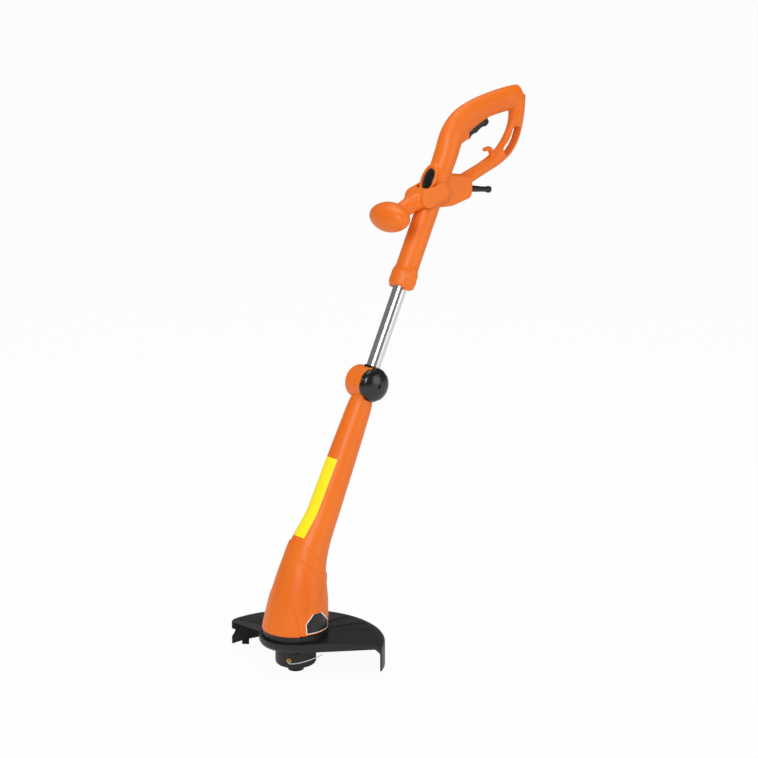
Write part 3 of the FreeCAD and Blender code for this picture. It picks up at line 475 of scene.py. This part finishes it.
# Seam between two moulded halves: a V groove along Y = 0.
def seamGroove(piece, half, depth, allowed):
    onlySelect(piece)
    for shift in (-half, 0.0, half):
        bpy.ops.object.mode_set(mode="EDIT")
        bpy.ops.mesh.select_mode(type="FACE")
        bpy.ops.mesh.select_all(action="DESELECT")
        bpy.ops.object.mode_set(mode="OBJECT")
        for face in piece.data.polygons:
            face.select = allowed(face.center) and abs(face.center.y) < 4 * mm
        bpy.ops.object.mode_set(mode="EDIT")
        bpy.ops.mesh.bisect(plane_co=(0, shift * mm, 0), plane_no=(0, 1, 0))
    bpy.ops.mesh.select_mode(type="VERT")
    bpy.ops.mesh.select_all(action="DESELECT")
    bpy.ops.object.mode_set(mode="OBJECT")
    for corner in piece.data.vertices:
        corner.select = abs(corner.co.y) < 0.02 * mm and allowed(corner.co)
    bpy.ops.object.mode_set(mode="EDIT")
    bpy.ops.transform.shrink_fatten(value=-depth * mm)
    bpy.ops.object.mode_set(mode="OBJECT")


# Lower housing: bell, straight neck and the boss of the tilt joint
housing = {
    "voxel": 1.25, "boss": 29.5, "near": -14.0, "far": 27.0, "lug": 26.7, "room": 9.3, "tube": 13.0,
    "bolt": 5.05, "edge": 1.8,
    "bell": [(0, 78, 0, 58.0), (0, 79, 0, 58.0), (1.6, 88, 1, 57.3), (6.2, 112, 4, 54.7), (9.9, 142, 6, 50.0),
             (13.5, 170, 11, 43.2), (21.0, 198, 17, 38.2), (35.5, 231, 22, 33.2)],
    "neck": [(150, 28.4), (165, 28.0), (213, 26.7), (276, 25.0), (342, 22.3), (386, 20.5)]}
knuckle = onShaft(0, 399)


def bellSkin(name, table):
    piece = startPiece(name)
    rings = [(Vector((x * mm, 0, z * mm)), Vector((math.sin(math.radians(t)), 0, math.cos(math.radians(t)))),
              r * mm, r * mm) for x, z, t, r in table["bell"]]
    rings += [(onShaft(0, s), shaftDir, r * mm, r * mm) for s, r in table["neck"]]
    skinRings(rings, 64)
    bpy.ops.object.mode_set(mode="OBJECT")
    applyModifier(piece, "SUBSURF", levels=2)
    return piece


skin = bellSkin("bellSkin", housing)
boss = makeDisc("boss", knuckle, housing["boss"], housing["near"], housing["far"])
housingShell = joinPieces("housingShell", [skin, boss])
remesh(housingShell, housing["voxel"], 2)
# room for the tongue and for the tube's swing from upright to 50 degrees back
fold = math.radians(50)
tilted = Vector((math.sin(lean + fold), 0, math.cos(lean + fold)))
middle = Vector((math.sin(lean + fold / 2), 0, math.cos(lean + fold / 2)))
side = Vector((tilted.z, 0, -tilted.x))
halfTube = housing["tube"] * mm
sweep = [knuckle - shaftSide * halfTube, knuckle - shaftSide * halfTube + shaftDir * 0.06,
         knuckle + middle * 0.085, knuckle + side * halfTube + tilted * 0.06, knuckle + side * halfTube]
cutAway(housingShell, makeDisc("lugRoom", knuckle, housing["lug"], -housing["room"], housing["room"]),
        makePrism("sweepRoom", [(p.x / mm, p.z / mm) for p in sweep], -housing["room"], housing["room"]),
        makeDisc("boltHole", knuckle, housing["bolt"], -40, 40))

# The bell's creases. Each panel has its sides, how far it stands out, its edge's width and where the step
# fades out: the ridge where the bell meets the neck, the front tongue, and on both flanks the sunk panel
# beside the badge and the shallow one above it.
movePanel(housingShell, [((0, 0, 240), (-0.80, 0, -0.60))], 2.0, lambda p: p.z > 0.11, housing["edge"],
          list(range(4, 32, 3)))
movePanel(housingShell, [((-19.4, 0, 0), (-1, 0, -0.08)), ((0, 0, 171.5), (0.1, 0, -1))], 1.5,
          lambda p: p.x < -0.01, housing["edge"])
for facing in (-1, 1):
    sunkPanel = [((0, 0, 135.7), (0.524, 0, -0.852)), ((-15.0, 0, 0), (1, 0, 0)),
                 ((0, facing * 15.0, 0), (0, facing, 0))]
    upperPanel = [((-8.4, 0, 0), (1, 0, 0)), ((0, 0, 136.5), (-0.524, 0, 0.852)),
                  ((0, facing * 10.0, 0), (0, facing, 0)), ((0, 0, 204.0), (-0.80, 0, -0.60))]
    movePanel(housingShell, sunkPanel, -1.2, lambda p: p.z < 0.17 and p.x < 0.062, housing["edge"])
    movePanel(housingShell, upperPanel, -0.9, lambda p: p.z < 0.24, housing["edge"], [6, 10, 14, 18])
seamGroove(housingShell, 0.5, 1.0, lambda p: p.z < 0.50)
standFor(housingShell, orangeAbs, "lower_unit", "orange", "housing_left", "housing_right", angle=28)
print("housing modelled")

# Printed films: a flat grid cut to the outline, laid on the housing and given the film's thickness
badge = {"place": (0.011, -0.090, 0.095), "turn": (math.pi / 2, 0, 0), "size": (60, 40),
         "slot": "badge_black"}
label = {"place": onShaft(-60, 181), "turn": (0, lean - math.pi / 2, 0), "size": (148, 31),
         "slot": "label_yellow"}


def layFilm(name, film, lift, thick, finish, cuts=(), nodes=()):
    wide, high = film["size"]
    bpy.ops.object.select_all(action="DESELECT")
    bpy.ops.mesh.primitive_grid_add(x_subdivisions=wide, y_subdivisions=high, size=1, location=film["place"],
                                    rotation=film["turn"])
    sheet = bpy.context.object
    sheet.name = sheet.data.name = name
    sheet.scale = (wide * mm, high * mm, 1)
    bpy.ops.object.transform_apply(location=False, rotation=False, scale=True)
    bpy.ops.object.mode_set(mode="EDIT")
    for point, normal in cuts:
        bpy.ops.mesh.select_all(action="SELECT")
        bpy.ops.mesh.bisect(plane_co=Vector(point) * mm, plane_no=normal, clear_inner=True)
    bpy.ops.object.mode_set(mode="OBJECT")
    applyModifier(sheet, "SHRINKWRAP", target=housingShell, wrap_method="PROJECT", use_project_z=True,
                  use_positive_direction=False, use_negative_direction=True, offset=lift * mm)
    bpy.ops.object.transform_apply(location=True, rotation=True, scale=True)
    applyModifier(sheet, "SOLIDIFY", thickness=thick * mm, offset=0.0)
    leaveEdit(sheet, finish, "lower_unit", 50)
    if nodes:
        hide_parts(*nodes)


# The badge's straight sides, each a cut through (x, z) with the sheet kept on the inner side. The operator
# limits each part of a normal to 1, so a side that isn't level or upright leans 45 degrees.
def badgeCuts(grow):
    corners = [(-15.0 - grow, 83.5 - grow), (36.5 + grow, 83.5 - grow), (36.5 + grow, 95 + grow),
               (32.5 + grow, 100 + grow), (-7.0 - grow * 0.5, 106.5 + grow), (-15.0 - grow, 101 + grow * 0.5)]
    cuts = []
    for (x, z), (farX, farZ) in zip(corners, corners[1:] + corners[:1]):
        cuts.append(((x, 0, z), (z - farZ, 0, farX - x)))
    return cuts


layFilm("labelStrip", label, 0.3, 0.3, yellowFilm, nodes=["label_strip"])
layFilm("badgeEdge", badge, 0.25, 0.2, whiteFilm, badgeCuts(1.4))
layFilm("badgePlate", badge, 0.5, 0.3, blackFilm, badgeCuts(0), ["badge_plate"])
print("films laid")

# Drawn tube between the knuckle and the handle's collar
tubeSize = {"radius": 0.0125, "length": 0.268, "middle": 564}
bpy.ops.object.select_all(action="DESELECT")
bpy.ops.mesh.primitive_cylinder_add(vertices=128, radius=tubeSize["radius"], depth=tubeSize["length"],
                                    location=onShaft(0, tubeSize["middle"]), rotation=(0, lean, 0))
tube = bpy.context.object
tube.name = "drawnTube"
bpy.ops.object.transform_apply(location=True, rotation=True, scale=True)
standFor(tube, aluminium, "upper_unit", "aluminium", "shaft_tube")

# Clamp knob: the fluted dome with softened edges
softened = {"voxel": 0.6, "smooth": 5}                 # shared with the button on the handle
knob = copyNodes("knob", "clamp_knob")
remesh(knob, softened["voxel"], softened["smooth"])
standFor(knob, blackNylon, "clamp", "knob_black", "clamp_knob", angle=60)
print("knob modelled")

# Rear handle, in millimetres. Stalk and collar rows: distance up the shaft, radius. Limb rows: x and z from the
# neck, half height, half width. The block's outline is from the neck, the lip's and the trigger room's from the
# trigger's pin, and the lobe's is across and up the shaft.
handle = {
    "voxel": 1.3,
    "grip": [(12.3, 30.4, 23.0, 19.5), (32.7, 51.3, 25.0, 18.0), (60.3, 66.0, 23.7, 17.2),
             (91.3, 77.4, 21.5, 17.0), (124.3, 84.4, 21.5, 17.0), (149.3, 88.4, 21.5, 17.0),
             (168.3, 93.4, 18.5, 14.5)],
    "rear": [(160.3, 91.4, 20.0, 16.0), (162.8, 65.4, 15.0, 15.0), (160.3, 43.4, 14.5, 13.0),
             (152.8, 21.4, 16.5, 11.0), (137.3, -1.1, 16.5, 11.0), (114.3, -18.6, 13.5, 11.5),
             (86.3, -32.1, 11.5, 12.0), (54.3, -45.1, 11.5, 13.0), (19.3, -59.6, 12.0, 15.0)],
    "block": [(-10.7, -34.6), (50.3, -42.6), (50.3, -72.6), (46.3, -82.6), (4.3, -93.6), (-22.7, -93.6)],
    "hook": [(110.3, -14.1, 4.5, 7.0), (103.0, -5.0, 4.2, 7.0), (99.3, 0.4, 4.0, 7.0), (93.0, 0.2, 3.8, 6.6),
             (86.3, -1.6, 3.4, 6.0)],
    "slot": [(157.5, 36.0, 7.0, 42.0), (155.8, 29.4, 8.2, 42.0), (147.8, 11.9, 8.2, 42.0),
             (134.8, -3.1, 8.2, 42.0), (128.5, -8.0, 6.5, 42.0)],
    "lip": [(56, 2), (61, 2.5), (80, -2.5), (92, -7), (80, -26), (50, -16)],
    "room": [(-8, 18), (61, 18), (61, -16), (-8, -12)],
    "stalk": [(578, 20.4), (700, 20.4), (783, 20.4), (808, 20.8), (828, 21.3)],
    "collar": [(578, 21.4), (581, 23.5), (604, 23.5), (610, 21.5), (613, 20.3)],
    "lobe": [(-9, 604), (0, 618), (11, 604), (13, 588), (5, 574), (-7, 574), (-13, 588)],
    "lobeSides": (-24.5, 18.5), "lobeThick": 6, "rimPlace": (-18.6, 772), "rimSize": (0.0255, 0.0175, 0.024)}
neck = onShaft(0, 828)
pivot = neck + Vector((87.8 * mm, 0, 62.5 * mm))
along = Vector((math.cos(math.radians(218.8)), 0, math.sin(math.radians(218.8))))
out = Vector((-along.z, 0, along.x))


def fromNeck(rows):
    return [(neck.x / mm + row[0], neck.z / mm + row[1]) + tuple(row[2:]) for row in rows]


def onTrigger(t, n):
    place = pivot + along * (t * mm) + out * (n * mm)
    return place.x / mm, place.z / mm


def limbAt(name, rows, steps=4, corners=40):
    return makeLimb(name, [(x, 0, z, up, wide) for x, z, up, wide in fromNeck(rows)], corners, steps)


stalkRows = [shaftRow(s, r) for s, r in handle["stalk"]]
stalkRows += [(x, 0, z, up, wide) for x, z, up, wide in fromNeck(handle["grip"])]
stalk = makeLimb("stalk", stalkRows, 40, 5)
collar = makeLimb("collar", [shaftRow(s, r) for s, r in handle["collar"]], 40, 1)
rear = limbAt("rear", handle["rear"])
hook = limbAt("hook", handle["hook"], 3, 24)
block = makePrism("block", fromNeck(handle["block"]), -15, 15)
applyModifier(block, "BEVEL", width=0.004, segments=4, limit_method="ANGLE")
lip = makePrism("lip", [onTrigger(t, n) for t, n in handle["lip"]], -13, 13)
applyModifier(lip, "BEVEL", width=0.003, segments=3, limit_method="ANGLE")
bpy.ops.object.select_all(action="DESELECT")
bpy.ops.mesh.primitive_torus_add(major_segments=64, minor_segments=16, major_radius=1, minor_radius=0.16,
                                 location=onShaft(*handle["rimPlace"]), rotation=(0, lean + math.pi / 2, 0))
rim = bpy.context.object
rim.scale = handle["rimSize"]
bpy.ops.object.transform_apply(location=True, rotation=True, scale=True)
lobes = []
for reachY in handle["lobeSides"]:
    corners = [onShaft(u, s) for u, s in handle["lobe"]]
    lobe = makePrism("lobe", [(p.x / mm, p.z / mm) for p in corners], reachY, reachY + handle["lobeThick"])
    applyModifier(lobe, "BEVEL", width=0.0015, segments=2, limit_method="ANGLE")
    lobes.append(lobe)
handleShell = joinPieces("handleShell", [stalk, collar, rear, hook, block, lip, rim] + lobes)
remesh(handleShell, handle["voxel"], 0)
roomOutline = [onTrigger(t, n) for t, n in handle["room"]]
cutAway(handleShell, limbAt("slotRoom", handle["slot"], 3, 48),
        makePrism("triggerRoom", roomOutline, -7.5, 7.5))
remesh(handleShell, handle["voxel"], 12)
seamGroove(handleShell, 0.5, 0.9, lambda p: True)
standFor(handleShell, orangeGrip, "upper_unit", "orange", "handle_left", "handle_right")
print("handle modelled")

# Trigger, front handle, guard and button: the CAD shapes with moulded edges
trigger = copyNodes("fingerTrigger", "trigger")
applyModifier(trigger, "BEVEL", width=0.0012, segments=3, limit_method="ANGLE", angle_limit=math.radians(40))
standFor(trigger, blackPp, "trigger", "black", "trigger")

# the stem runs smoothly from the egg into the cheeks on both sides of the stalk: (distance from the hub,
# half height, half width)
front = {
    "hub": 758, "slope": 21, "eggFrom": 0.060, "eggDrop": 0.004, "voxel": 1.1, "smooth": 40,
    "stem": [(84, 13.0, 14.0), (70, 13.5, 14.5), (58, 14.5, 17.0), (46, 15.5, 21.5), (36, 16.5, 26.0)]}
frontHandle = copyNodes("frontHandle", "aux_handle")
hub = onShaft(0, front["hub"])
onlySelect(frontHandle)
bpy.ops.object.mode_set(mode="EDIT")
bpy.ops.mesh.select_all(action="DESELECT")
bpy.ops.object.mode_set(mode="OBJECT")
for corner in frontHandle.data.vertices:
    corner.select = (corner.co - hub).length > front["eggFrom"]
bpy.ops.object.mode_set(mode="EDIT")
bpy.ops.transform.translate(value=(0, 0, -front["eggDrop"]))
bpy.ops.object.mode_set(mode="OBJECT")
slope = math.radians(front["slope"])
reach = Vector((-math.cos(slope), 0, -math.sin(slope)))
stemRows = []
for away, up, wide in front["stem"]:
    spot = hub + reach * (away * mm)
    stemRows.append((spot.x / mm, 0, spot.z / mm, up, wide))
frontHandle = joinPieces("frontHandle", [frontHandle, makeLimb("stem", stemRows, 40, 3)])
remesh(frontHandle, front["voxel"], front["smooth"])
standFor(frontHandle, orangeAbs, "aux_handle", "orange", "aux_handle")

button = copyNodes("button", "lock_button")
remesh(button, softened["voxel"], softened["smooth"])
standFor(button, blackNylon, "lock_button", "knob_black", "lock_button", angle=50)

guardVoxel = 1.45
guardShell = copyNodes("guardShell", "guard")
remesh(guardShell, guardVoxel, 1)
standFor(guardShell, blackPp, "lower_unit", "black", "guard", angle=35)
print("smaller pieces modelled")


# Cutting line: a short stiff end out of the brass eye
lineEnd = {
    "diameter": 0.0016, "length": 0.083,
    "route": [(-0.02710, -0.01883, 0.028), (-0.03818, -0.02654, 0.028), (-0.039, -0.038, 0.0286),
              (-0.027, -0.050, 0.0315), (-0.010, -0.062, 0.0375), (0.0066, -0.071, 0.0455)]}
bpy.ops.object.select_all(action="DESELECT")
cutLineCurve = bpy.data.curves.new("cutLine", "CURVE")
cutLineCurve.dimensions = "3D"
spline = cutLineCurve.splines.new("NURBS")
spline.points.add(len(lineEnd["route"]) - 1)
for point, place in zip(spline.points, lineEnd["route"]):
    point.co = (*place, 1)
spline.order_u = 3
spline.use_endpoint_u = True
cutLineCurve.bevel_depth = lineEnd["diameter"] / 2
cutLineCurve.bevel_resolution = 4
cutLineCurve.resolution_u = 12
cutLineCurve.use_fill_caps = True
cutLine = bpy.data.objects.new("cutLine", cutLineCurve)
bpy.context.collection.objects.link(cutLine)
cutLine.data.materials.append(nylonLine)
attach(cutLine, "cutting_head")
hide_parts("trimmer_line")
print("cutting line laid")

# Floor, world and lights
bpy.ops.object.select_all(action="DESELECT")
bpy.ops.mesh.primitive_plane_add(size=40, location=(0.19, 0, -0.0003))
floor = bpy.context.object
floor.name = "studioFloor"
paper, tree = newMaterial("paleFloor")
lit = addNode(tree, "ShaderNodeBsdfDiffuse", {"Color": linearColour("#F2F2F2")})
glow = addNode(tree, "ShaderNodeEmission", {"Color": linearColour("#FFFFFF"), "Strength": 1.0})
seen = addNode(tree, "ShaderNodeLightPath")
dim = addNode(tree, "ShaderNodeMath", {1: 0.22}, {0: seen.outputs["Is Glossy Ray"]}, operation="MULTIPLY")
share = addNode(tree, "ShaderNodeMath", {1: 0.95, 2: 0.0}, {0: seen.outputs["Is Camera Ray"],
                                                            2: dim.outputs[0]},
                operation="MULTIPLY_ADD")
both = addNode(tree, "ShaderNodeMixShader", links={0: share.outputs[0], 1: lit.outputs[0],
                                                   2: glow.outputs[0]})
addNode(tree, "ShaderNodeOutputMaterial", links={"Surface": both.outputs[0]})
floor.data.materials.append(paper)

world = bpy.data.worlds.new("studio")
bpy.context.scene.world = world
world.use_nodes = True
world.node_tree.nodes.clear()
seen = addNode(world.node_tree, "ShaderNodeLightPath")
anyView = addNode(world.node_tree, "ShaderNodeMath", links={0: seen.outputs["Is Camera Ray"],
                                                            1: seen.outputs["Is Transmission Ray"]},
                  operation="MAXIMUM")
soft = addNode(world.node_tree, "ShaderNodeMapRange", {"To Min": 0.58, "To Max": 0.20},
               {"Value": seen.outputs["Is Glossy Ray"]})
strength = addNode(world.node_tree, "ShaderNodeMath", links={0: soft.outputs["Result"],
                                                             1: anyView.outputs[0]}, operation="MAXIMUM")
sky = addNode(world.node_tree, "ShaderNodeBackground", {"Color": linearColour("#FFFFFF")},
              {"Strength": strength.outputs[0]})
addNode(world.node_tree, "ShaderNodeOutputWorld", links={"Surface": sky.outputs["Background"]})

lamps = {
    "keyLamp": {"place": (-2.6, -2.2, 2.6), "size": 1.4, "power": 62.0},
    "fillLamp": {"place": (1.6, -3.0, 1.2), "size": 1.8, "power": 20.0},
    "topLamp": {"place": (0.2, 0.4, 3.2), "size": 1.6, "power": 22.0}}
target = Vector((0.19, 0, 0.5))
for lampName, lamp in lamps.items():
    bpy.ops.object.light_add(type="AREA", location=lamp["place"])
    lampObject = bpy.context.object
    lampObject.name = lampName
    lampObject.data.size = lamp["size"]
    lampObject.data.energy = lamp["power"]
    lampObject.rotation_euler = (target - Vector(lamp["place"])).to_track_quat("-Z", "Y").to_euler()
bpy.context.scene.view_settings.view_transform = "Standard"
print("floor and lights set")
